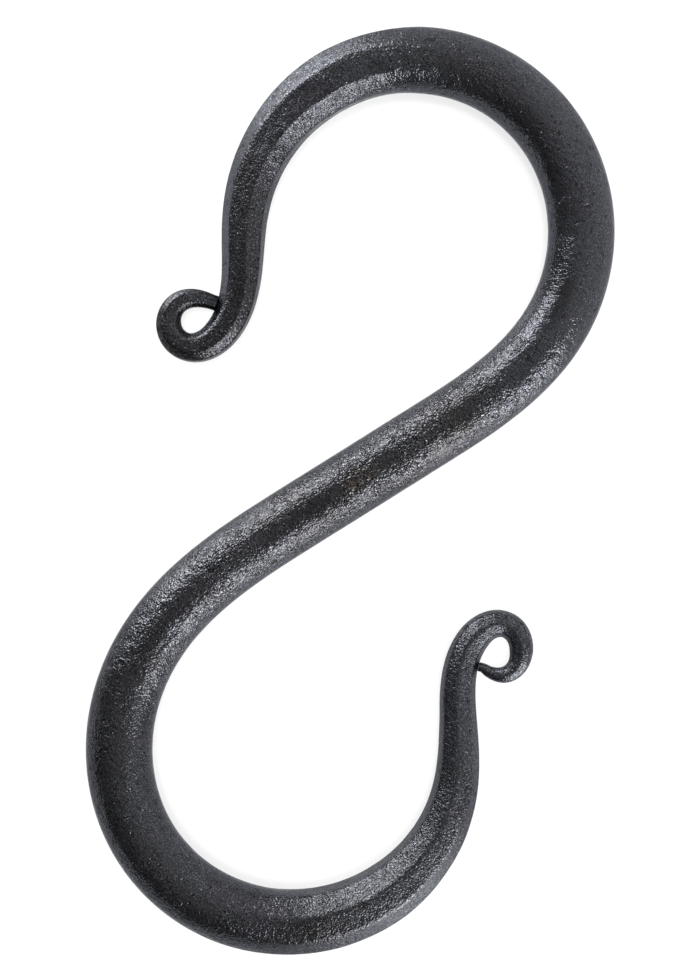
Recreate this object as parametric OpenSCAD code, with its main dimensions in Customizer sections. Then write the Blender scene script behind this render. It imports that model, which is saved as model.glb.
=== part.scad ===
// Forged S hook, bent from one round bar.
//
// The straight shank is round. Past the crown of each bend the bar is drawn
// out into a tapering, softly eight-sided end. That end curls back outward
// into a small closed eye, and its tip stops just short of the stem.
//
// Frame: the hook lies flat, as it comes to rest. Its middle line runs level
// at half the bar's thickness, and z = 0 is the face that it lies on. +Y runs
// along the line of pull, from the lower bight to the upper one. The origin is
// under the centre of the whole hook. Units are millimetres and degrees.

/* [Bar] */
// Diameter of the round bar
bar_d = 8; // [6:0.1:11]
// Length of the straight middle of the shank
shank_straight = 18.9; // [8:0.1:60]
// Turn over which each bend tightens, next to the straight shank
ease_turn = 25; // [10:1:40]

/* [Upper bend] */
// Turn of the upper bend, from the shank to its stem
upper_bend_turn = 236; // [215:1:242]
// Inner radius at four places, evenly spaced in turn from shank to stem
upper_bend_r = [18.3, 16.4, 15.5, 18.4]; // [12:0.1:26]
// Last part of the turn, over which the upper bend straightens into its stem
upper_run_out = 6; // [3:1:30]

/* [Lower bend] */
// Turn of the lower bend, from the shank to its stem
lower_bend_turn = 240; // [215:1:246]
// Inner radius at four places, evenly spaced in turn from shank to stem
lower_bend_r = [22.1, 15.8, 17.1, 14.6]; // [12:0.1:26]
// Last part of the turn, over which the lower bend straightens into its stem
lower_run_out = 14; // [3:1:30]

/* [Upper curl] */
// Turn of the upper curl, before its tip runs straight on to the stem
upper_curl_turn = 288; // [275:1:300]
// Inner radius of the eye at four places, evenly spaced in turn
upper_eye_r = [5.6, 1.1, 1.7, 1.4]; // [0.6:0.1:7]
// Thickness of the bar at the same four places
upper_curl_d = [4, 3.3, 3, 2.5]; // [1.8:0.1:4.4]

/* [Lower curl] */
// Turn of the lower curl, before its tip runs straight on to the stem
lower_curl_turn = 306; // [285:1:315]
// Inner radius of the eye at four places, evenly spaced in turn
lower_eye_r = [5.2, 0.8, 3.2, 1]; // [0.6:0.1:7]
// Thickness of the bar at the same four places
lower_curl_d = [3.8, 3.1, 2.8, 2]; // [1.8:0.1:4.2]

/* [Both curls] */
// Turn over which each curl tightens, next to its stem
curl_ease_turn = 40; // [25:1:55]
// Turn over which each curl opens out again, next to its tip
curl_end_turn = 47; // [30:1:60]
// Gap between each tip and its stem
tip_gap = 0.12; // [0.05:0.01:0.6]

/* [Taper] */
// Turn of the upper bend at which the bar starts to taper
upper_taper_turn = 144; // [100:1:180]
// Thickness of the upper stem, where bend and curl meet
upper_stem_d = 5; // [4:0.1:6]
// Thickness of the upper tip
upper_tip_d = 1.8; // [0.8:0.1:2.6]
// Turn of the lower bend at which the bar starts to taper
lower_taper_turn = 125; // [100:1:180]
// Thickness of the lower stem, where bend and curl meet
lower_stem_d = 4.4; // [4:0.1:6]
// Thickness of the lower tip
lower_tip_d = 1.1; // [0.8:0.1:2.6]
// Share of the drop from bar to stem that is left half way along the upper bend's taper
upper_fullness = 0.6; // [0.4:0.05:0.9]
// Share of the drop from bar to stem that is left half way along the lower bend's taper
lower_fullness = 0.75; // [0.4:0.05:0.9]

/* [Hammered flats] */
// Length of bar over which the round turns into eight flats
facet_run = 12; // [4:1:30]
// Radius of the ridges between the flats, as a share of half the thickness
ridge_share = 0.35; // [0.1:0.05:0.8]
// Twist of the flats toward the outside of the hook
facet_twist = 6; // [0:1:12]

/* [Looks] */
// Colour of the blackened steel
steel_color = [0.26, 0.265, 0.28];

/* [Hidden] */

// Corners of each cross-section, a multiple of 8 so that ridges fall on corners
ring_corners = 32;
// Angle between two of the eight flats, and from a flat's middle to a ridge
flat_pitch = 45;
ridge_angle = flat_pitch / 2;
// Longest straight run that a tip may add to reach its stem
tip_reach = 3;
// Least length between the faced-off tip and the section before it
tip_room = 0.5;
// Height of each tip's rounded nose and width of its blunt end, as shares of the tip
nose_share = 0.3;
blunt_share = 0.55;
// Angles of the sections that round the nose off
nose_angles = [35, 70, 90];

// Runs of bar along one end, in order, and the stations along each
run_names = [
    "shank", "ease", "bend 1", "bend 2", "bend 3", "run-out",
    "curl ease", "eye 1", "eye 2", "eye 3", "opening out", "tip"
];
run_steps = [1, 6, 13, 13, 13, 3, 7, 8, 8, 8, 5, 6];

// ---- Middle line -------------------------------------------------------
// A run is [length, curvature at its start, curvature at its end], listed in
// the order of run_names.
// A station is [x, y, heading, length of bar from the middle of the shank].

function degrees_of(angle) = angle * 180 / PI;

function radians_of(angle) = angle * PI / 180;

function run(turn, k0, k1) = [2 * radians_of(turn) / (k0 + k1), k0, k1];

// Bend, stem and curl of one end, from the middle of the shank to past its tip
function hook_runs(bend_turn, run_out, bend_r, curl_turn, eye_r, curl_d) =
    let (
        k = [for (r = bend_r) 1 / (r + bar_d / 2)],
        c = [for (i = [0 : len(eye_r) - 1]) -1 / (eye_r[i] + curl_d[i] / 2)],
        bend_part = (bend_turn - ease_turn - run_out) / 3,
        curl_part = (curl_turn - curl_ease_turn - curl_end_turn) / 3
    )
    [
        [shank_straight / 2, 0, 0],
        run(ease_turn, 0, k[0]),
        run(bend_part, k[0], k[1]),
        run(bend_part, k[1], k[2]),
        run(bend_part, k[2], k[3]),
        run(run_out, k[3], 0),
        run(-curl_ease_turn, 0, c[0]),
        run(-curl_part, c[0], c[1]),
        run(-curl_part, c[1], c[2]),
        run(-curl_part, c[2], c[3]),
        run(-curl_end_turn, c[3], 0),
        [tip_reach, 0, 0]
    ];

// Next station, a short arc further on
function step_on(st, ds, turn) =
    let (chord = abs(turn) < 0.001 ? ds : ds * sin(turn / 2) / radians_of(turn / 2))
    [
        st[0] + chord * cos(st[2] + turn / 2),
        st[1] + chord * sin(st[2] + turn / 2),
        st[2] + turn,
        st[3] + ds
    ];

function walk_run(st, r, steps) =
    let (ds = r[0] / steps)
    [
        for (
            j = 0, p = st;
            j <= steps;
            p = step_on(p, ds, degrees_of(ds * between(r[1], r[2], (j + 0.5) / steps))), j = j + 1
        ) p
    ];

function walk(st, runs, i = 0) =
    i == len(runs) ? [st] :
    let (
        part = walk_run(st, runs[i], run_steps[i]),
        last = len(part) - 1
    )
    concat([for (j = [0 : last - 1]) part[j]], walk(part[last], runs, i + 1));

function total(values, upto, i = 0) = i >= upto ? 0 : values[i] + total(values, upto, i + 1);

function run_number(name) = search([name], run_names)[0];

// Length of bar, and number of stations, before a run starts
function along_at(runs, name, skip = 0) = total([for (r = runs) r[0]], run_number(name) + skip);

function station_at(name) = total(run_steps, run_number(name));

// ---- Thickness ---------------------------------------------------------

// Length of bar at which a bend has turned so far
function along_at_turn(path, turn) =
    lookup(turn, [for (i = [0 : station_at("curl ease")]) [path[i][2] - path[0][2], path[i][3]]]);

// Pairs of [length of bar, thickness] up to the last of the eye's four places
function taper_table(path, runs, bend_turn, taper_turn, fullness, stem_d, curl_d) =
    concat(
        [
            [along_at_turn(path, taper_turn), bar_d],
            [
                along_at_turn(path, (taper_turn + bend_turn) / 2),
                stem_d + fullness * (bar_d - stem_d)
            ],
            [along_at(runs, "curl ease"), stem_d]
        ],
        [for (i = [0 : len(curl_d) - 1]) [along_at(runs, "eye 1", i), curl_d[i]]]
    );

// ---- Tip ---------------------------------------------------------------

function flat_vector(a, b) = [b[0] - a[0], b[1] - a[1]];

// How far a point's nearest place lies along a stretch of bar, from 0 to 1
function share_along(p, a, b) =
    let (ab = flat_vector(a, b))
    max(0, min(1, flat_vector(a, p) * ab / (ab * ab)));

function between(a, b, t) = a + (b - a) * t;

// [distance to the bar's surface, x, y] for the nearest place on one stretch
function stretch_gap(p, a, b, table) =
    let (c = between(a, b, share_along(p, a, b)))
    [norm(flat_vector(p, c)) - lookup(c[3], table) / 2, c[0], c[1]];

function nearest(found) =
    let (least = min([for (f = found) f[0]]))
    [for (f = found) if (f[0] == least) f][0];

// Nearest place on the stem, for a point of the curl
function stem_gap(p, path, table) =
    nearest([
        for (i = [station_at("bend 3") : station_at("eye 2") - 1])
            stretch_gap(p, path[i], path[i + 1], table)
    ]);

// First station from i on that is closer to the stem than its nose allows
function touching(path, table, room, i) =
    i >= len(path) - 1 || stem_gap(path[i], path, table)[0] < room ? i :
    touching(path, table, room, i + 1);

// Last station of the bar, turned so that its end faces the stem
function tip_station(path, table, room) =
    let (
        i = touching(path, table, room, station_at("opening out")),
        g0 = stem_gap(path[i - 1], path, table)[0],
        g1 = stem_gap(path[i], path, table)[0],
        p = between(path[i - 1], path[i], max(0, min(1, (g0 - room) / (g0 - g1)))),
        c = stem_gap(p, path, table)
    )
    [p[0], p[1], p[2] + turn_between(p[2], atan2(c[2] - p[1], c[1] - p[0])), p[3]];

function turn_between(a, b) =
    let (d = (b - a) % 360)
    d > 180 ? d - 360 : d < -180 ? d + 360 : d;

// ---- Sections ----------------------------------------------------------
// A cut is [x, y, heading, thickness, share of eight-sidedness].

// Distance from the middle of an eight-sided bar to its surface
function eight_sided(r, angle) =
    let (
        off = abs((angle + ridge_angle) % flat_pitch - ridge_angle),
        flat_end = atan(tan(ridge_angle) * (1 - ridge_share)),
        ridge_r = ridge_share * r,
        ridge_at = (r - ridge_r) / cos(ridge_angle),
        from_ridge = ridge_angle - off
    )
    off <= flat_end ? r / cos(off) :
    ridge_at * cos(from_ridge) + sqrt(pow(ridge_r, 2) - pow(ridge_at * sin(from_ridge), 2));

// Corners of one cut; the twist is mirrored on the end that runs backward
function section(cut, side) =
    [
        for (j = [0 : ring_corners - 1])
            let (
                angle = j * 360 / ring_corners,
                r = cut[3] / 2,
                reach = between(r, eight_sided(r, angle), cut[4]),
                a = angle + side * facet_twist * cut[4]
            )
            [
                cut[0] - sin(cut[2]) * reach * cos(a),
                cut[1] + cos(cut[2]) * reach * cos(a),
                bar_d / 2 + reach * sin(a)
            ]
    ];

// All cuts of one end, from the middle of the shank to the blunt tip
function end_cuts(
    heading, bend_turn, run_out, bend_r, curl_turn, eye_r, curl_d, taper_turn, fullness, stem_d, tip_d
) =
    let (
        runs = hook_runs(bend_turn, run_out, bend_r, curl_turn, eye_r, curl_d),
        path = walk([0, 0, heading, 0], runs),
        table = taper_table(path, runs, bend_turn, taper_turn, fullness, stem_d, curl_d),
        nose = nose_share * tip_d,
        tip = tip_station(path, table, tip_gap + nose),
        thickness = concat(table, [[tip[3], tip_d]]),
        kept = concat([for (p = path) if (p[3] < tip[3] - tip_room) p], [tip])
    )
    concat(
        [
            for (p = kept)
                [
                    p[0],
                    p[1],
                    p[2],
                    lookup(p[3], thickness),
                    max(0, min(1, (p[3] - table[0][0]) / facet_run))
                ]
        ],
        [
            for (a = nose_angles)
                [
                    tip[0] + nose * sin(a) * cos(tip[2]),
                    tip[1] + nose * sin(a) * sin(tip[2]),
                    tip[2],
                    tip_d * between(blunt_share, 1, cos(a)),
                    1
                ]
        ]
    );

upper_cuts = end_cuts(
    0, upper_bend_turn, upper_run_out, upper_bend_r, upper_curl_turn, upper_eye_r,
    upper_curl_d, upper_taper_turn, upper_fullness, upper_stem_d, upper_tip_d
);

lower_cuts = end_cuts(
    180, lower_bend_turn, lower_run_out, lower_bend_r, lower_curl_turn, lower_eye_r,
    lower_curl_d, lower_taper_turn, lower_fullness, lower_stem_d, lower_tip_d
);

// ---- Line of pull ------------------------------------------------------

// Place on a bend where it has turned so far
function place_at_turn(cuts, turn) =
    let (bend = [for (i = [0 : station_at("curl ease")]) cuts[i]])
    [for (axis = [0, 1]) lookup(turn, [for (c = bend) [c[2] - bend[0][2], c[axis]]])];

// Direction from the lower bight to the upper one. Each bight is where its bend
// has turned square to the pull, so the search starts from a guess and settles.
function pull_angle(guess, rounds) =
    rounds <= 0 ? guess :
    let (
        upper = place_at_turn(upper_cuts, guess + 90),
        lower = place_at_turn(lower_cuts, guess + 90)
    )
    pull_angle(atan2(upper[1] - lower[1], upper[0] - lower[0]), rounds - 1);

first_angle = 45;
pull_rounds = 6;
to_y = 90 - pull_angle(first_angle, pull_rounds);

function turned(cut) =
    [
        cos(to_y) * cut[0] - sin(to_y) * cut[1],
        sin(to_y) * cut[0] + cos(to_y) * cut[1],
        cut[2] + to_y,
        cut[3],
        cut[4]
    ];

// The lower end runs backward, from its tip to the shank
function reversed(cut) = [cut[0], cut[1], cut[2] + 180, cut[3], cut[4]];

sections = concat(
    [for (i = [len(lower_cuts) - 1 : -1 : 1]) section(reversed(turned(lower_cuts[i])), -1)],
    [for (i = [1 : len(upper_cuts) - 1]) section(turned(upper_cuts[i]), 1)]
);

corners = [for (s = sections) for (c = s) c];
corner_x = [for (c = corners) c[0]];
corner_y = [for (c = corners) c[1]];
middle = [(min(corner_x) + max(corner_x)) / 2, (min(corner_y) + max(corner_y)) / 2, 0];

// ---- Solid -------------------------------------------------------------

function corner(ring, j) = ring * ring_corners + j % ring_corners;

side_faces = [
    for (i = [0 : len(sections) - 2])
        for (j = [0 : ring_corners - 1])
            for (face = [
                [corner(i, j), corner(i, j + 1), corner(i + 1, j + 1)],
                [corner(i, j), corner(i + 1, j + 1), corner(i + 1, j)]
            ]) face
];

first_face = [for (j = [ring_corners - 1 : -1 : 0]) corner(0, j)];
last_face = [for (j = [0 : ring_corners - 1]) corner(len(sections) - 1, j)];

module hook() {
    color(steel_color)
        translate(-middle)
        polyhedron(points = corners, faces = concat([first_face, last_face], side_faces), convexity = 8);
}

hook();
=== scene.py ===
import math
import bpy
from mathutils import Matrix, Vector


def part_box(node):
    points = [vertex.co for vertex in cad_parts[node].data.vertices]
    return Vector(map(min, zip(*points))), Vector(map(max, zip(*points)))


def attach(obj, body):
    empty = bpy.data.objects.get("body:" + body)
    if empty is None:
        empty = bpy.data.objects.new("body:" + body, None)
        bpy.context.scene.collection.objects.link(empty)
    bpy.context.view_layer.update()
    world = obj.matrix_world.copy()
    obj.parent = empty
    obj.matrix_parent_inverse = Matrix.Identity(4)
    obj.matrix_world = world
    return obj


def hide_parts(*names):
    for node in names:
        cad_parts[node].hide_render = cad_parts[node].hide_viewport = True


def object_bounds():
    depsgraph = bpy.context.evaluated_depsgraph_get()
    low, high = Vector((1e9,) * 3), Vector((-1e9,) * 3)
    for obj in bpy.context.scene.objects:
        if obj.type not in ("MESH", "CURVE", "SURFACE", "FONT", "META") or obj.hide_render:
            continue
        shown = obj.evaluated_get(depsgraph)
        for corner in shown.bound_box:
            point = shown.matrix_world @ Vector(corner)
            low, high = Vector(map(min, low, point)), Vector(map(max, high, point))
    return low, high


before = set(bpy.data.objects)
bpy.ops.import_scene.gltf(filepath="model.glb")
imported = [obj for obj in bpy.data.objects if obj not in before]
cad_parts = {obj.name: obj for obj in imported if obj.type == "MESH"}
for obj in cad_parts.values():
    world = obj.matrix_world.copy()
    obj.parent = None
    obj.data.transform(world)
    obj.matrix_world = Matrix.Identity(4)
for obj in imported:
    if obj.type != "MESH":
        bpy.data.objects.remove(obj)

from types import SimpleNamespace

import bmesh
import bpy
import numpy as np
from mathutils import Vector, noise
from mathutils.bvhtree import BVHTree

CAD_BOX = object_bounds()
MM = 0.001
SEED = 7

# ---- The view, in metres --------------------------------------------------------

# The photograph looks straight down on the flat hook, turned about the line of sight.
# VIEW_HEIGHT is what the picture shows of the hook's plane, from its bottom to its top.
VIEW_CENTRE = (0.72 * MM, 0.05 * MM)
VIEW_TURN = math.radians(13.31)
VIEW_HEIGHT = 117.5 * MM
VIEW_DISTANCE = 0.40
SENSOR = 36.0

# ---- The studio, in metres and watts --------------------------------------------

# Azimuths are angles in the picture, and polar angles are measured from straight up.
SOFTBOXES = (("softbox_upper_left", 124, 4.0), ("softbox_lower_right", -55, 4.1))
SOFTBOX_POLAR = 69
SOFTBOX_SIZE = (0.42, 0.44)
SOFTBOX_DISTANCE = 0.6
# The room's light has ROOM_LEVEL overhead, and rises or falls by ROOM_SLOPE toward the horizon.
ROOM_PALE_AZIMUTH = 40
ROOM_LEVEL = 0.63
ROOM_SLOPE = 0.51
FLOOR_SIZE = 6.0
FLOOR_DROP = 0.01 * MM
FLOOR_GREY = 0.3
FLOOR_ROUGHNESS = 0.2
FLOOR_IOR = 3.4
# With the lamps' light on the grey, this much glow makes the floor white.
FLOOR_GLOW = 0.72

# ---- The bar, in millimetres ----------------------------------------------------

CORNERS = 96
STATIONS = 985
FLATS = 8
# Stations lie closer together where the bar is thinner, down to this half thickness. They are placed
# by counting along so many fine steps.
DENSEST_HALF = 1.2
FINE_STEPS = 20000
# The CAD bar rounds each tip off over its last sections. The detailed bar leaves them out, and its
# tips run on to TIP_GAP from the stem, with a bevelled edge and an end face of a few rings.
NOSE_SECTIONS = 3
TIP_GAP = 0.02
TIP_EDGE = 0.06
FACE_SHARES = (0.93, 0.7, 0.4)
# A ray from the tip to the stem starts this far ahead of the tip.
RAY_START = 0.02
# The CAD bar's blunt lower end has more triangles than this in one upright plane, and a smaller reach
# than this. A triangle is upright or in that plane within the tolerances below.
BLUNT_END_FACES = 16
BLUNT_END_REACH = 3.0
UPRIGHT = 0.01
SAME_WAY = 0.999
FLUSH = 0.003

# Hammered ends. Each row is a distance from the tip, as a share of the bar's length, and a value.
# The top flat leans toward the outside of the hook by so many degrees.
UPPER_LEAN = (
    (0.0, 0), (0.03, 0), (0.045, 7), (0.068, 9), (0.088, 13), (0.107, 16), (0.124, 16), (0.142, 11),
    (0.16, 6), (0.175, 1),
)
LOWER_LEAN = ((0.0, 20), (0.12, 19), (0.14, 16), (0.165, 12), (0.22, 11))
# A higher number gives crisper ridges.
UPPER_CRISP = ((0.0, 14), (0.035, 18), (0.05, 32), (0.09, 45), (0.2, 45))
LOWER_CRISP = ((0.0, 14), (0.06, 18), (0.11, 18), (0.15, 32), (0.2, 45))
# Distance of the top flat from the middle, with the other flats at 1
UPPER_TOP = ((0.0, 0.92), (0.07, 0.92), (0.09, 0.965))
LOWER_TOP = ((0.0, 1.0),)
# How far the outer bevel is burnished, with a smoother grain and a painted sheen. Only the upper end's
# is.
UPPER_BURNISH_AND_SHEEN = ((0.04, 0.0), (0.065, 0.8), (0.125, 0.8), (0.145, 0.4), (0.165, 0.2), (0.2, 0.0))
LOWER_BURNISH_AND_SHEEN = ((0.0, 0.0),)

# Forging marks. Each row of unevenness is a height, a size, the noise's shift and its octaves.
UNEVENNESS = ((0.03, 9.0, 11.0, 2), (0.020, 2.6, 17.0, 2), (0.010, 1.0, 23.0, 3))
FLAT_UNEVENNESS = 0.012
FLAT_WAVE = 6.0
# Hammer dents lie side by side, each reaching DENT_RIM of DENT_SIZE from its middle. They are deeper by
# DENT_ON_FLATS where the bar is eight-sided.
DENT_SIZE = 3.4
DENT_SHIFT = 5.0
DENT_RIM = 0.75
DENT_DEPTH = 0.02
DENT_ON_FLATS = 0.04
# Small pits and nicks strewn at random: least and greatest width, length as so many widths, and depth
PIT_COUNT = 260
PIT_WIDTHS = (0.22, 0.55)
PIT_STRETCHES = (0.8, 2.2)
PIT_DEPTHS = (0.02, 0.06)
# Every pit has a low rim, as a share of its depth and at so many widths from its middle, where a
# higher number makes it narrower. Beyond PIT_REACH widths nothing is left of a pit.
PIT_RIM = 0.25
PIT_RIM_AT = 1.7
PIT_RIM_NARROW = 4
PIT_REACH = 3
FLAKE_STRETCH = 4.5
# Marks shrink with the bar's half thickness, fade out toward the tips and are weaker on the outline.
FULL_HALF = 4.0
LEAST_MARKS = 0.25
MARKS_FADE = 1.5
OUTLINE_CALM = 0.6

# The scale along the bar. Each row is a share of the bar's length from the lower tip, and a value.
# Coarseness of its grain
COARSENESS = (
    (0.0, 0.4), (0.1, 0.35), (0.2, 0.6), (0.26, 0.85), (0.35, 0.85), (0.41, 1.1), (0.57, 1.1),
    (0.63, 0.6), (0.7, 0.6), (0.79, 0.65), (0.83, 0.6), (0.87, 0.45), (1.0, 0.42),
)
# Paleness, from dark and brownish to pale and bluish
PALENESS = (
    (0.0, 0.8), (0.1, 0.75), (0.14, 0.5), (0.18, 0.3), (0.22, 0.35), (0.26, 0.5), (0.3, 0.5),
    (0.4, 0.4), (0.47, 0.15), (0.56, 0.15), (0.62, 1.0), (0.76, 1.0), (0.83, 0.5), (0.87, 0.3),
    (0.92, 0.15), (1.0, 0.15),
)
# Single marks. Each row starts with the distance from the lower tip and the place across, as a share
# of the half width, left of the bar's direction counted positive.
# Pits and rolled flakes go on with their width, and their depth or height.
DEEP_PITS = (
    (14.7, -0.87, 0.35, 0.14), (61.0, 0.75, 0.30, 0.08), (118.0, 0.35, 0.30, 0.10),
    (121.5, 0.62, 0.28, 0.10), (126.0, 0.45, 0.34, 0.12), (133.5, 0.58, 0.26, 0.10),
    (146.0, -0.70, 0.28, 0.10), (151.8, -0.88, 0.30, 0.16), (169.0, 0.30, 0.30, 0.10),
    (189.8, -0.74, 0.32, 0.12), (194.8, -0.90, 0.40, 0.14), (203.0, -0.55, 0.30, 0.08),
)
ROLLED_FLAKES = (
    (112.6, -0.42, 0.30, 0.07), (110.4, -0.52, 0.26, 0.06), (108.2, -0.50, 0.32, 0.08),
    (106.6, -0.45, 0.26, 0.06), (105.2, -0.56, 0.30, 0.07), (106.2, -0.20, 0.16, 0.05),
    (103.4, -0.76, 0.16, 0.05),
)
# Stains go on with their length and width. Smudges darken, rust browns, and flaky scale is coarser
# and darker.
SMUDGES = (
    (59.0, 0.14, 3.2, 1.2), (108.0, 0.0, 7.0, 0.9), (132.0, 0.0, 3.0, 1.0), (172.0, 0.2, 4.0, 1.0),
    (256.0, 0.0, 9.0, 0.9),
)
RUST = ((138.9, 0.02, 2.3, 1.1),)
FLAKY = ((206.0, 0.0, 9.0, 2.0), (197.5, 0.4, 5.0, 1.3))
FLAKY_COARSER = 0.15
FLAKY_DARKER = 0.6
# The burnished band along the bevel, with its painted sheen, by the cosine of the angle from the
# bevel's middle
BURNISH_AND_SHEEN_EDGE = 0.90
BURNISH_AND_SHEEN_FADE = 0.05

# ---- The steel ------------------------------------------------------------------

STEEL = (0.066, 0.0685, 0.0775)
STEEL_DARK = (0.0435, 0.0436, 0.0475)
SCALE_BROWN = (0.050, 0.045, 0.041)
WORN_STEEL = (0.085, 0.087, 0.099)
# Painted sheen: paler steel painted on the burnished outer bevel, standing in for its reflection
BURNISH_AND_PAINTED_SHEEN_STEEL = (0.105, 0.109, 0.124)
# Near-black, for soot smudges and dark grain, and for the painted shade in pocks and sunk forging marks
SOOT_AND_HOLLOW_SHADE = (0.020, 0.019, 0.019)
RUST_BROWN = (0.064, 0.0555, 0.050)
EDGE_TINT = (0.625, 0.635, 0.66)
ROUGHNESS = (0.15, 0.23)
GRAIN_CONTRAST = 3.2
# How far burnishing takes the grain away
BURNISH_SMOOTHS = 0.6
BUMP_DEPTH = 0.15 * MM


# ---- The bar as the CAD model has it --------------------------------------------


def lower_end_corners(bm):
    """The corners round the blunt face that closes the bar's lower end."""
    upright = [(f.normal, f.calc_center_median()) for f in bm.faces if abs(f.normal.z) < UPRIGHT]

    def in_plane(point, centre, normal):
        return abs((point - centre).dot(normal)) < FLUSH * MM

    blunt = [
        (centre.y, centre, normal)
        for normal, centre in upright
        if sum(n.dot(normal) > SAME_WAY and in_plane(c, centre, normal) for n, c in upright)
        > BLUNT_END_FACES
    ]
    _, centre, normal = min(blunt, key=lambda b: b[0])
    return {
        v.index
        for v in bm.verts
        if in_plane(v.co, centre, normal) and (v.co - centre).length < BLUNT_END_REACH * MM
    }


def ordered_sections(node):
    """The CAD bar's cross-sections, one after the other from its lower tip."""
    bm = bmesh.new()
    bm.from_mesh(node.data)
    bmesh.ops.remove_doubles(bm, verts=bm.verts, dist=1e-7)
    bm.verts.ensure_lookup_table()
    bm.verts.index_update()
    bm.normal_update()
    near = [[e.other_vert(v).index for e in v.link_edges] for v in bm.verts]
    place = np.array([v.co[:] for v in bm.verts]) / MM
    level = lower_end_corners(bm)
    bm.free()
    seen = set(level)
    sections = []
    while level:
        sections.append(place[sorted(level)])
        level = {n for i in level for n in near[i]} - seen
        seen |= level
    return sections


def bar_path(sections):
    """Each section's centre, heading, half thickness, half width, half height and eight-sidedness."""
    centres = np.array([s.mean(axis=0) for s in sections])
    ahead = np.gradient(centres[:, :2], axis=0)
    headings, halves, widths, heights, peaks = [], [], [], [], []
    for corners, centre, way in zip(sections, centres, ahead):
        arms = corners - centre
        normal = np.linalg.svd(arms)[2][2][:2]
        normal *= np.sign(normal @ way) / np.linalg.norm(normal)
        across = arms[:, 1] * normal[0] - arms[:, 0] * normal[1]
        reaches = np.linalg.norm(arms, axis=1)
        headings.append(math.atan2(normal[1], normal[0]))
        halves.append(reaches.min())
        widths.append(np.ptp(across) / 2)
        heights.append(np.ptp(arms[:, 2]) / 2)
        peaks.append(reaches.max() / reaches.min() - 1)
    return {
        "centre": centres,
        "heading": np.unwrap(headings),
        "half": np.array(halves),
        "wide": np.array(widths),
        "tall": np.array(heights),
        "eight": np.array(peaks) / max(peaks),
    }


def lengths_along(path):
    """Length of bar up to each section, each stretch taken as an arc."""
    chord = np.linalg.norm(np.diff(path["centre"], axis=0), axis=1)
    turn = np.diff(path["heading"])
    return np.concatenate([[0], np.cumsum(chord * (1 + turn**2 / 24))])


def fine_stations(along, half):
    """Lengths of bar at which the detailed mesh has its stations, closer where the bar is thin."""
    fine = np.linspace(0, along[-1], FINE_STEPS)
    density = 1 / np.maximum(np.interp(fine, along, half), DENSEST_HALF)
    count = np.concatenate([[0], np.cumsum((density[1:] + density[:-1]) / 2)])
    return np.interp(np.linspace(0, count[-1], STATIONS), count, fine)


def smooth_line(path, along, at):
    """Centres and headings at any length of bar, on cubics through the CAD sections."""
    i = np.clip(np.searchsorted(along, at, side="right") - 1, 0, len(along) - 2)
    span = (along[i + 1] - along[i])[:, None]
    t = ((at - along[i]) / span[:, 0])[:, None]
    ways = np.stack([np.cos(path["heading"]), np.sin(path["heading"])], axis=1)
    p0, p1 = path["centre"][i, :2], path["centre"][i + 1, :2]
    m0, m1 = ways[i] * span, ways[i + 1] * span
    place = (
        (2 * t**3 - 3 * t**2 + 1) * p0
        + (t**3 - 2 * t**2 + t) * m0
        + (3 * t**2 - 2 * t**3) * p1
        + (t**3 - t**2) * m1
    )
    slope = (
        (6 * t**2 - 6 * t) * (p0 - p1)
        + (3 * t**2 - 4 * t + 1) * m0
        + (3 * t**2 - 2 * t) * m1
    )
    return place, np.arctan2(slope[:, 1], slope[:, 0])


def by_end(bar, lower, upper):
    """Values at every station from two tables of distance from the tip, one for each end."""
    share = bar.at / bar.length
    low = np.interp(share, *zip(*lower))
    high = np.interp(1 - share, *zip(*upper))
    return np.where(share < 0.5, low, high)


def along_bar(bar, table):
    """Values at every station from one table along the whole bar, as a column."""
    return np.interp(bar.at / bar.length, *zip(*table))[:, None]


def bar_at_stations(node):
    """The bar's line and thickness at every station of the detailed mesh."""
    path = bar_path(ordered_sections(node)[NOSE_SECTIONS:-NOSE_SECTIONS])
    along = lengths_along(path)
    at = fine_stations(along, path["half"])
    centre, heading = smooth_line(path, along, at)
    sizes = {name: np.interp(at, along, path[name]) for name in ("half", "wide", "tall", "eight")}
    bar = SimpleNamespace(at=at, length=along[-1], centre=centre, heading=heading, **sizes)
    bar.middle_z = path["centre"][:, 2].mean()
    # The outside of the hook is right of the bar's direction on the upper end, and left on the lower.
    bar.outward = np.where(at < bar.length / 2, -1, 1)
    bar.lean = np.radians(by_end(bar, LOWER_LEAN, UPPER_LEAN)) * bar.outward
    return bar


# ---- The eight-sided section ----------------------------------------------------


def uneven_flat(bar, k):
    """Slight unevenness of one flat along the bar."""
    return np.array(
        [FLAT_UNEVENNESS * noise.noise(Vector((a / FLAT_WAVE, 4.1 * k, 0.5))) for a in bar.at]
    )


def flat_sided(angles, lean, crisp, distances):
    """Reach of an eight-sided section with rounded ridges, for a bar of half thickness 1."""
    total = np.zeros((len(lean), len(angles)))
    for k, distance in enumerate(distances):
        flat_angle = math.radians(90 + k * 360 / FLATS) + lean[:, None]
        facing = np.cos(angles[None, :] - flat_angle)
        total += (np.maximum(facing, 0) / distance[:, None]) ** crisp[:, None]
    return total ** (-1 / crisp[:, None])


def fitted(reach, angles, wide, tall):
    """Across and up from the middle line, scaled to span just the width and height given."""
    across = reach * np.cos(angles)
    up = reach * np.sin(angles)
    for part, span in ((across, wide), (up, tall)):
        for sign in (1, -1):
            far = (part * sign).max(axis=1)
            part *= np.where(part * sign > 0, (span / far)[:, None], 1)
    return across, up


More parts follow.
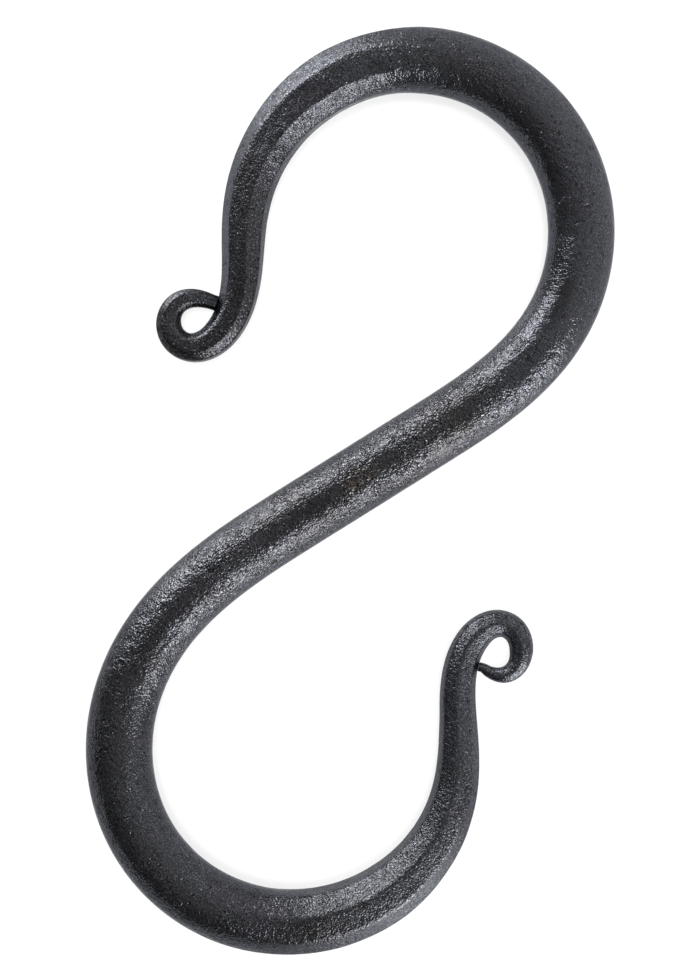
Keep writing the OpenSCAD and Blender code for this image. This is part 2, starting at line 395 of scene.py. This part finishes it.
def section_corners(bar, angles):
    """Across and up from the middle line to every corner, before the forging marks."""
    distances = [1 + uneven_flat(bar, k) for k in range(FLATS)]
    distances[0] = distances[0] * by_end(bar, LOWER_TOP, UPPER_TOP)
    flats = flat_sided(angles, bar.lean, by_end(bar, LOWER_CRISP, UPPER_CRISP), distances)
    reach = bar.half[:, None] * (1 + (flats - 1) * bar.eight[:, None])
    return fitted(reach, angles, bar.wide, bar.tall)


# ---- Forging marks --------------------------------------------------------------


def field(points, size, shift, octaves):
    """Smooth noise from about -1 to 1, with features of about that size."""
    moved = Vector((shift, shift * 1.7, shift * 2.3))
    return np.array(
        [noise.fractal(Vector(p) / size + moved, 1.0, 2.0, octaves) for p in points]
    )


def hammer_dents(points, size, shift):
    """Shallow round dents side by side, 0 at their rims and -1 in their middles."""
    moved = Vector((shift, shift * 1.3, shift * 0.7))
    found = np.array([noise.voronoi(Vector(p) / size + moved)[0][0] for p in points])
    return np.minimum(found / DENT_RIM, 1) ** 2 - 1


def all_pits(length):
    """Place along and round the bar, width, stretch and depth of every pit and flake."""
    rng = np.random.default_rng(SEED)
    places = ((0, length), (0, math.tau))
    ranges = (*places, PIT_WIDTHS, PIT_STRETCHES, PIT_DEPTHS)
    pits = [tuple(rng.uniform(*limits) for limits in ranges) for _ in range(PIT_COUNT)]
    for along, across, width, deep in DEEP_PITS:
        pits.append((along, math.acos(across), width, 1.0, deep))
    for along, across, width, tall in ROLLED_FLAKES:
        pits.append((along, math.acos(across), width, FLAKE_STRETCH, -tall))
    return pits


def round_from(angles, angle, half):
    """Distance round the bar from one angle to every corner."""
    return np.angle(np.exp(1j * (angles - angle)))[None, :] * half[:, None]


def pitted(bar, angles):
    """How far the pits sink and the flakes raise every corner."""
    depth = np.zeros((len(bar.at), len(angles)))
    for along, angle, width, stretch, deep in all_pits(bar.length):
        rows = np.abs(bar.at - along) < PIT_REACH * width * stretch
        if not rows.any():
            continue
        around = round_from(angles, angle, bar.half[rows])
        run = (bar.at[rows] - along)[:, None]
        q = (run / (width * stretch)) ** 2 + (around / width) ** 2
        rim = PIT_RIM * deep * np.exp(-((np.sqrt(q) - PIT_RIM_AT) ** 2) * PIT_RIM_NARROW)
        depth[rows] -= deep * np.exp(-q) - rim
    return depth


def forging_marks(bar, angles, straight):
    """How far every corner is raised or sunk, with no section larger or smaller on the whole."""
    points = straight.reshape(-1, 3)
    shape = straight.shape[:2]
    marks = np.zeros(shape)
    for height, size, shift, octaves in UNEVENNESS:
        marks += height * field(points, size, shift, octaves).reshape(shape)
    dents = 0.5 + hammer_dents(points, DENT_SIZE, DENT_SHIFT).reshape(shape)
    marks += (DENT_DEPTH + DENT_ON_FLATS * bar.eight[:, None]) * dents
    marks += pitted(bar, angles)
    return marks - marks.mean(axis=1, keepdims=True)


def growth(bar, angles, marks):
    """What the marks make of each corner's reach, as a factor."""
    thin = np.clip(bar.half / FULL_HALF, LEAST_MARKS, 1)[:, None]
    ends = np.clip(np.minimum(bar.at, bar.length - bar.at) / MARKS_FADE, 0, 1)[:, None]
    outline = 1 - OUTLINE_CALM * np.cos(angles)[None, :] ** 6
    return 1 + marks * thin * ends * outline / bar.half[:, None]


# ---- Layers that the material reads ---------------------------------------------


def stained(bar, angles, stains):
    """How far every corner is covered by the stains of one kind."""
    cover = np.zeros((len(bar.at), len(angles)))
    for along, across, length, width in stains:
        around = round_from(angles, math.acos(across), bar.half)
        q = ((bar.at - along) / length)[:, None] ** 2 + (around / width) ** 2
        cover = np.maximum(cover, np.exp(-(q**2)))
    return cover


def burnish_and_sheen_band(bar, angles):
    """How far every corner is burnished and painted with a sheen, along the outer bevel beside the top
    flat.
    """
    bevel = math.pi / 2 + bar.outward * math.tau / FLATS + bar.lean
    facing = np.cos(angles[None, :] - bevel[:, None])
    band = np.clip((facing - BURNISH_AND_SHEEN_EDGE) / BURNISH_AND_SHEEN_FADE, 0, 1)
    return band * by_end(bar, LOWER_BURNISH_AND_SHEEN, UPPER_BURNISH_AND_SHEEN)[:, None]


def surface_layers(bar, angles, straight, marks):
    """Values at every corner that the steel's material reads."""
    flaky = stained(bar, angles, FLAKY)
    return {
        "bar_space": straight,
        "faceted": np.repeat(bar.eight[:, None], len(angles), axis=1),
        "raised": marks,
        "smudged": stained(bar, angles, SMUDGES),
        "rusty": stained(bar, angles, RUST),
        "burnished": burnish_and_sheen_band(bar, angles),
        "coarse": along_bar(bar, COARSENESS) + FLAKY_COARSER * flaky,
        "pale": along_bar(bar, PALENESS) - FLAKY_DARKER * flaky,
    }


# ---- The detailed bar -----------------------------------------------------------


def unbent(bar, angles):
    """Every corner's place on the bar as if it were round and straight."""
    return np.stack(
        [
            np.repeat(bar.at[:, None], len(angles), axis=1),
            bar.half[:, None] * np.cos(angles),
            bar.half[:, None] * np.sin(angles),
        ],
        axis=2,
    )


def placed(bar, across, up, box):
    """Every corner's place on the bent bar, kept within the CAD node's box."""
    normal = np.stack([-np.sin(bar.heading), np.cos(bar.heading)], axis=1)
    xyz = np.empty(across.shape + (3,))
    xyz[..., :2] = bar.centre[:, None, :] + normal[:, None, :] * across[..., None]
    xyz[..., 2] = bar.middle_z + up
    low, high = (np.array(corner) / MM for corner in box)
    return np.clip(xyz, low, high)


def rings_on_stem(ring, way, tree):
    """The tip drawn on from its last ring to just short of the stem, and its end face's centre."""

    def reach(points):
        """How far each point travels before it meets the stem, at its own height or at mid height."""
        level = points.copy()
        level[:, 2] = ring[:, 2].mean()
        runs = []
        for pair in zip(points, level):
            hits = [tree.ray_cast(Vector(p + way * RAY_START), Vector(way))[3] for p in pair]
            runs.append(min(hit for hit in hits if hit is not None))
        return np.array(runs)[:, None] + RAY_START

    middle = ring.mean(axis=0)
    rings = [ring + way * (reach(ring) - TIP_GAP - TIP_EDGE)]
    for share in FACE_SHARES:
        inner = middle + (ring - middle) * share
        rings.append(inner + way * (reach(inner) - TIP_GAP))
    centre = middle + way * (reach(middle[None])[0] - TIP_GAP)
    return rings, centre


def joined(last, new, sign):
    """Faces between two rings of corners. The sign is 1 where the new ring is ahead, -1 if behind."""
    faces = []
    for j in range(len(last)):
        k = (j + 1) % len(last)
        quad = (last[j], last[k], new[k], new[j])
        faces.append(quad if sign > 0 else quad[::-1])
    return faces


def fanned(last, centre, sign):
    """Faces between a ring of corners and the point that closes it, with the sign as in joined."""
    faces = []
    for j in range(len(last)):
        k = (j + 1) % len(last)
        faces.append((last[j], last[k], centre) if sign > 0 else (last[k], last[j], centre))
    return faces


def closed_tube(xyz, heading):
    """Points and faces of the bar with its tips closed, and the corner each point takes layers from."""
    stations, corners, _ = xyz.shape
    rings = np.arange(stations * corners).reshape(stations, corners).tolist()
    points = [xyz.reshape(-1, 3)]
    faces = []
    for last, new in zip(rings, rings[1:]):
        faces += joined(last, new, 1)
    tree = BVHTree.FromPolygons(points[0].tolist(), faces)
    count = stations * corners
    source = list(range(count))
    for i, sign in ((0, -1), (stations - 1, 1)):
        way = np.array([math.cos(heading[i]), math.sin(heading[i]), 0]) * sign
        tip_rings, centre = rings_on_stem(xyz[i], way, tree)
        last = rings[i]
        for tip_ring in tip_rings:
            new = list(range(count, count + corners))
            points.append(tip_ring)
            faces += joined(last, new, sign)
            source += rings[i]
            count += corners
            last = new
        points.append(centre[None])
        faces += fanned(last, count, sign)
        source.append(rings[i][0])
        count += 1
    return np.concatenate(points), faces, source


def add_layer(mesh, name, values):
    """Keeps one number or vector a point on the mesh, for the material."""
    vector = values.shape[1] == 3
    layer = mesh.attributes.new(name, "FLOAT_VECTOR" if vector else "FLOAT", "POINT")
    layer.data.foreach_set("vector" if vector else "value", values.ravel().astype(np.float32))


def build_bar(node):
    """The forged bar: a fine sweep along the CAD bar's own sections, with hammered detail."""
    bar = bar_at_stations(node)
    angles = np.arange(CORNERS) * math.tau / CORNERS
    straight = unbent(bar, angles)
    marks = forging_marks(bar, angles, straight)
    grow = growth(bar, angles, marks)
    across, up = section_corners(bar, angles)
    xyz = placed(bar, across * grow, up * grow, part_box(node.name))
    points, faces, source = closed_tube(xyz, bar.heading)

    mesh = bpy.data.meshes.new("forged_s_hook")
    mesh.from_pydata((points * MM).tolist(), [], faces)
    for name, values in surface_layers(bar, angles, straight, marks).items():
        add_layer(mesh, name, values.reshape(STATIONS * CORNERS, -1)[source])
    mesh.polygons.foreach_set("use_smooth", [True] * len(mesh.polygons))
    mesh.update()
    obj = bpy.data.objects.new("forged_s_hook", mesh)
    bpy.context.scene.collection.objects.link(obj)
    return obj


# ---- Blackened steel ------------------------------------------------------------


class Nodes:
    """Short names for making and linking the nodes of one material."""

    def __init__(self, tree):
        self.tree = tree
        tree.nodes.clear()

    def add(self, kind, **settings):
        node = self.tree.nodes.new(kind)
        for name, value in settings.items():
            setattr(node, name, value)
        return node

    def link(self, a, b):
        self.tree.links.new(a, b)

    def feed(self, socket, value):
        """Links a node's output to the socket, or sets the socket to a value."""
        if isinstance(value, bpy.types.NodeSocket):
            self.link(value, socket)
        else:
            socket.default_value = value

    def layer(self, name, output="Fac"):
        """One of the mesh's own layers."""
        return self.add("ShaderNodeAttribute", attribute_name=name).outputs[output]

    def math(self, operation, *values, clamp=False):
        node = self.add("ShaderNodeMath", operation=operation, use_clamp=clamp)
        for socket, value in zip(node.inputs, values):
            self.feed(socket, value)
        return node.outputs[0]

    def times(self, a, b):
        return self.math("MULTIPLY", a, b)

    def plus(self, a, b):
        return self.math("ADD", a, b)

    def less(self, a, b):
        return self.math("SUBTRACT", a, b)

    def larger(self, a, b):
        return self.math("MAXIMUM", a, b)

    def noise(self, vector, scale, detail=2.0, roughness=0.5, stretch=(1, 1, 1), shift=0.0):
        """Noise with about that many features a millimetre."""
        mapping = self.add("ShaderNodeMapping")
        self.link(vector, mapping.inputs["Vector"])
        mapping.inputs["Scale"].default_value = stretch
        mapping.inputs["Location"].default_value = (shift, shift * 0.7, shift * 1.9)
        node = self.add("ShaderNodeTexNoise")
        self.link(mapping.outputs[0], node.inputs["Vector"])
        node.inputs["Scale"].default_value = scale
        node.inputs["Detail"].default_value = detail
        node.inputs["Roughness"].default_value = roughness
        return node.outputs["Fac"]

    def ramp(self, value, low, high, to_low=0.0, to_high=1.0):
        """A smooth step from one value to another."""
        node = self.add("ShaderNodeMapRange", interpolation_type="SMOOTHSTEP")
        self.link(value, node.inputs["Value"])
        node.inputs["From Min"].default_value = low
        node.inputs["From Max"].default_value = high
        node.inputs["To Min"].default_value = to_low
        node.inputs["To Max"].default_value = to_high
        return node.outputs["Result"]

    def mix(self, share, under, over):
        """A share of one colour laid over another."""
        node = self.add("ShaderNodeMix", data_type="RGBA")
        self.link(share, node.inputs["Factor"])
        sockets = [s for s in node.inputs if s.type == "RGBA"]
        for socket, colour in zip(sockets, (under, over)):
            self.feed(socket, (*colour, 1) if isinstance(colour, tuple) else colour)
        return [s for s in node.outputs if s.type == "RGBA"][0]

    def scaled(self, vector, factor):
        node = self.add("ShaderNodeVectorMath", operation="SCALE")
        self.link(vector, node.inputs[0])
        self.link(factor, node.inputs["Scale"])
        return node.outputs[0]


def new_material(name):
    material = bpy.data.materials.new(name)
    material.use_nodes = True
    return material, Nodes(material.node_tree)


def scale_layers(n):
    """The mesh's layers and the noises that the scale's colour and relief share."""
    bar = n.layer("bar_space", "Vector")
    names = ("faceted", "raised", "smudged", "rusty", "burnished", "coarse", "pale")
    s = SimpleNamespace(**{name: n.layer(name) for name in names})
    # Large patches
    s.clouds = n.noise(bar, 0.16, 4.0, 0.6, shift=3.1)
    s.mottle = n.noise(bar, 0.8, 3.0, 0.6, shift=8.7)
    patches = n.ramp(n.noise(bar, 0.25, 2.0, 0.5, shift=5.1), 0.40, 0.58, 0.8, 1.2)
    # Grain, from coarse to fine
    s.grain = n.noise(bar, 2.0, 0.0, 0.5, shift=1.3)
    s.flakes = n.ramp(n.noise(bar, 2.0, 1.0, 0.5, shift=4.4), 0.46, 0.58)
    s.hatch = n.noise(bar, 2.0, 1.0, 0.5, stretch=(2.0, 0.5, 0.5), shift=7.7)
    s.fine = n.noise(bar, 4.6, 0.0, 0.5, shift=5.9)
    s.dust = n.noise(bar, 4.5, 1.0, 0.7, shift=3.7)
    s.specks = n.noise(bar, 6.5, 0.0, 0.5, shift=9.3)
    # Scattered small pocks and chips
    s.pocks = n.ramp(n.noise(bar, 1.5, 0.0, 0.5, shift=2.6), 0.24, 0.32, 1, 0)
    s.chips = n.ramp(n.noise(bar, 1.7, 0.0, 0.5, shift=6.2), 0.77, 0.80)
    # The scale is rougher in patches, dusty on the hammered ends, and smoother where it is burnished.
    unrubbed = n.math("MULTIPLY_ADD", s.burnished, -BURNISH_SMOOTHS, 1.0)
    s.rough = n.times(n.times(s.coarse, patches), unrubbed)
    s.dusty = n.times(s.faceted, unrubbed)
    return s


def scale_colour(n, s):
    """Blue-grey to dark steel, with brown, rusty and worn places, a burnished bevel with a painted
    sheen, soot, painted shade in pits and hollows, and fine grain.
    """
    paleness = n.math("ADD", s.pale, n.less(s.clouds, 0.5), clamp=True)
    colour = n.mix(paleness, STEEL_DARK, STEEL)
    brown = n.times(n.ramp(s.clouds, 0.30, 0.46, 1, 0), n.math("SUBTRACT", 0.5, s.pale, clamp=True))
    colour = n.mix(brown, colour, SCALE_BROWN)
    colour = n.mix(n.times(n.ramp(s.raised, 0.01, 0.05), 0.3), colour, WORN_STEEL)
    colour = n.mix(n.times(s.rusty, n.ramp(s.mottle, 0.35, 0.5)), colour, RUST_BROWN)
    # Painted sheen: the burnished bevel is painted paler, standing in for its reflection of the floor.
    colour = n.mix(s.burnished, colour, BURNISH_AND_PAINTED_SHEEN_STEEL)
    colour = n.mix(n.times(s.chips, 0.3), colour, WORN_STEEL)

    # Painted shade: pocks and the most deeply sunk forging marks and pits are darkened toward
    # near-black. Smudges and gaps in the grain darken too.
    soot_and_hollow_shade = n.larger(n.times(s.pocks, 0.6), n.ramp(s.raised, -0.09, -0.05, 0.8, 0))
    soot_and_hollow_shade = n.larger(soot_and_hollow_shade, n.times(s.smudged, 0.5))
    gaps = n.times(n.ramp(s.fine, 0.28, 0.42, 0.55, 0), s.rough)
    colour = n.mix(n.larger(soot_and_hollow_shade, gaps), colour, SOOT_AND_HOLLOW_SHADE)

    spread = n.times(n.less(s.specks, 0.5), s.rough)
    spread = n.math("MULTIPLY_ADD", n.less(s.dust, 0.5), s.dusty, spread)
    return n.scaled(colour, n.math("EXPONENT", n.times(spread, GRAIN_CONTRAST)))


def scale_relief(n, s):
    """Height of the grain, for the bump."""
    height = n.times(s.grain, 0.42)
    height = n.plus(height, n.times(s.flakes, 0.10))
    height = n.plus(height, n.times(s.fine, 0.48))
    height = n.plus(height, n.times(s.mottle, 0.65))
    height = n.plus(height, n.times(n.times(s.hatch, s.faceted), 0.12))
    height = n.times(height, s.rough)
    height = n.plus(height, n.times(n.times(s.dust, s.dusty), 0.5))
    height = n.plus(height, n.times(s.chips, 0.03))
    return n.less(height, n.times(n.times(s.pocks, s.rough), 0.25))


def blackened_steel():
    """Forge-blackened steel under a thin, grainy scale."""
    material, n = new_material("blackened_steel_detailed")
    s = scale_layers(n)
    shader = n.add("ShaderNodeBsdfPrincipled")
    shader.inputs["Metallic"].default_value = 1.0
    shader.inputs["Specular Tint"].default_value = (*EDGE_TINT, 1)
    n.link(scale_colour(n, s), shader.inputs["Base Color"])
    n.link(n.ramp(s.mottle, 0.3, 0.7, *ROUGHNESS), shader.inputs["Roughness"])
    bump = n.add("ShaderNodeBump")
    bump.inputs["Strength"].default_value = 1.0
    bump.inputs["Distance"].default_value = BUMP_DEPTH
    n.link(scale_relief(n, s), bump.inputs["Height"])
    n.link(bump.outputs[0], shader.inputs["Normal"])
    out = n.add("ShaderNodeOutputMaterial")
    n.link(shader.outputs[0], out.inputs["Surface"])
    return material


# ---- Studio ---------------------------------------------------------------------


def floor_material():
    """Pale floor that the camera and reflections see as white, and that keeps the hook's shadow."""
    material, n = new_material("pale_floor")
    paper = n.add("ShaderNodeBsdfPrincipled")
    paper.inputs["Base Color"].default_value = (FLOOR_GREY, FLOOR_GREY, FLOOR_GREY, 1)
    paper.inputs["Roughness"].default_value = FLOOR_ROUGHNESS
    paper.inputs["IOR"].default_value = FLOOR_IOR
    glow = n.add("ShaderNodeEmission")
    glow.inputs["Color"].default_value = (1, 1, 1, 1)
    rays = n.add("ShaderNodeLightPath")
    seen = n.larger(rays.outputs["Is Camera Ray"], rays.outputs["Is Glossy Ray"])
    seen = n.larger(seen, rays.outputs["Is Transmission Ray"])
    n.link(n.times(seen, FLOOR_GLOW), glow.inputs["Strength"])
    both = n.add("ShaderNodeAddShader")
    n.link(paper.outputs[0], both.inputs[0])
    n.link(glow.outputs[0], both.inputs[1])
    out = n.add("ShaderNodeOutputMaterial")
    n.link(both.outputs[0], out.inputs["Surface"])
    return material


def add_floor():
    bpy.ops.mesh.primitive_plane_add(size=FLOOR_SIZE, location=(0, 0, -FLOOR_DROP))
    floor = bpy.context.object
    floor.name = "floor"
    floor.data.materials.append(floor_material())


def direction(azimuth, polar):
    """Unit vector at an azimuth in the picture and an angle from straight up, in degrees."""
    a = math.radians(azimuth) + VIEW_TURN
    p = math.radians(polar)
    return Vector((math.sin(p) * math.cos(a), math.sin(p) * math.sin(a), math.cos(p)))


def add_softbox(name, azimuth, power):
    light = bpy.data.lights.new(name, "AREA")
    light.shape = "RECTANGLE"
    light.size, light.size_y = SOFTBOX_SIZE
    light.energy = power
    lamp = bpy.data.objects.new(name, light)
    way = direction(azimuth, SOFTBOX_POLAR)
    lamp.location = way * SOFTBOX_DISTANCE
    lamp.rotation_euler = way.to_track_quat("Z", "Y").to_euler()
    bpy.context.scene.collection.objects.link(lamp)


def studio_world():
    """Soft room light that rises evenly from the picture's lower left to its upper right."""
    world = bpy.data.worlds.new("studio")
    bpy.context.scene.world = world
    world.use_nodes = True
    n = Nodes(world.node_tree)
    coords = n.add("ShaderNodeTexCoord").outputs["Generated"]
    dot = n.add("ShaderNodeVectorMath", operation="DOT_PRODUCT")
    n.link(coords, dot.inputs[0])
    dot.inputs[1].default_value = direction(ROOM_PALE_AZIMUTH, 90)
    back = n.add("ShaderNodeBackground")
    back.inputs["Color"].default_value = (1, 1, 1, 1)
    level = n.math("MULTIPLY_ADD", dot.outputs["Value"], ROOM_SLOPE, ROOM_LEVEL)
    n.link(level, back.inputs["Strength"])
    out = n.add("ShaderNodeOutputWorld")
    n.link(back.outputs[0], out.inputs["Surface"])


def add_camera():
    """Camera above the hook, its distance measured from the bar's middle line."""
    (_, _, bottom), (_, _, top) = CAD_BOX
    data = bpy.data.cameras.new("camera")
    data.sensor_width = SENSOR
    data.lens = SENSOR * VIEW_DISTANCE / VIEW_HEIGHT
    data.clip_start = 0.01
    data.clip_end = 20
    camera = bpy.data.objects.new("camera", data)
    camera.location = (*VIEW_CENTRE, VIEW_DISTANCE + (bottom + top) / 2)
    camera.rotation_euler = (0, 0, VIEW_TURN)
    bpy.context.scene.collection.objects.link(camera)
    bpy.context.scene.camera = camera


add_camera()
bpy.context.scene.view_settings.view_transform = "Standard"
studio_world()
add_floor()
for name, azimuth, power in SOFTBOXES:
    add_softbox(name, azimuth, power)

hook = build_bar(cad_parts["hook"])
hook.data.materials.append(blackened_steel())
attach(hook, "root")
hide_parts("hook")
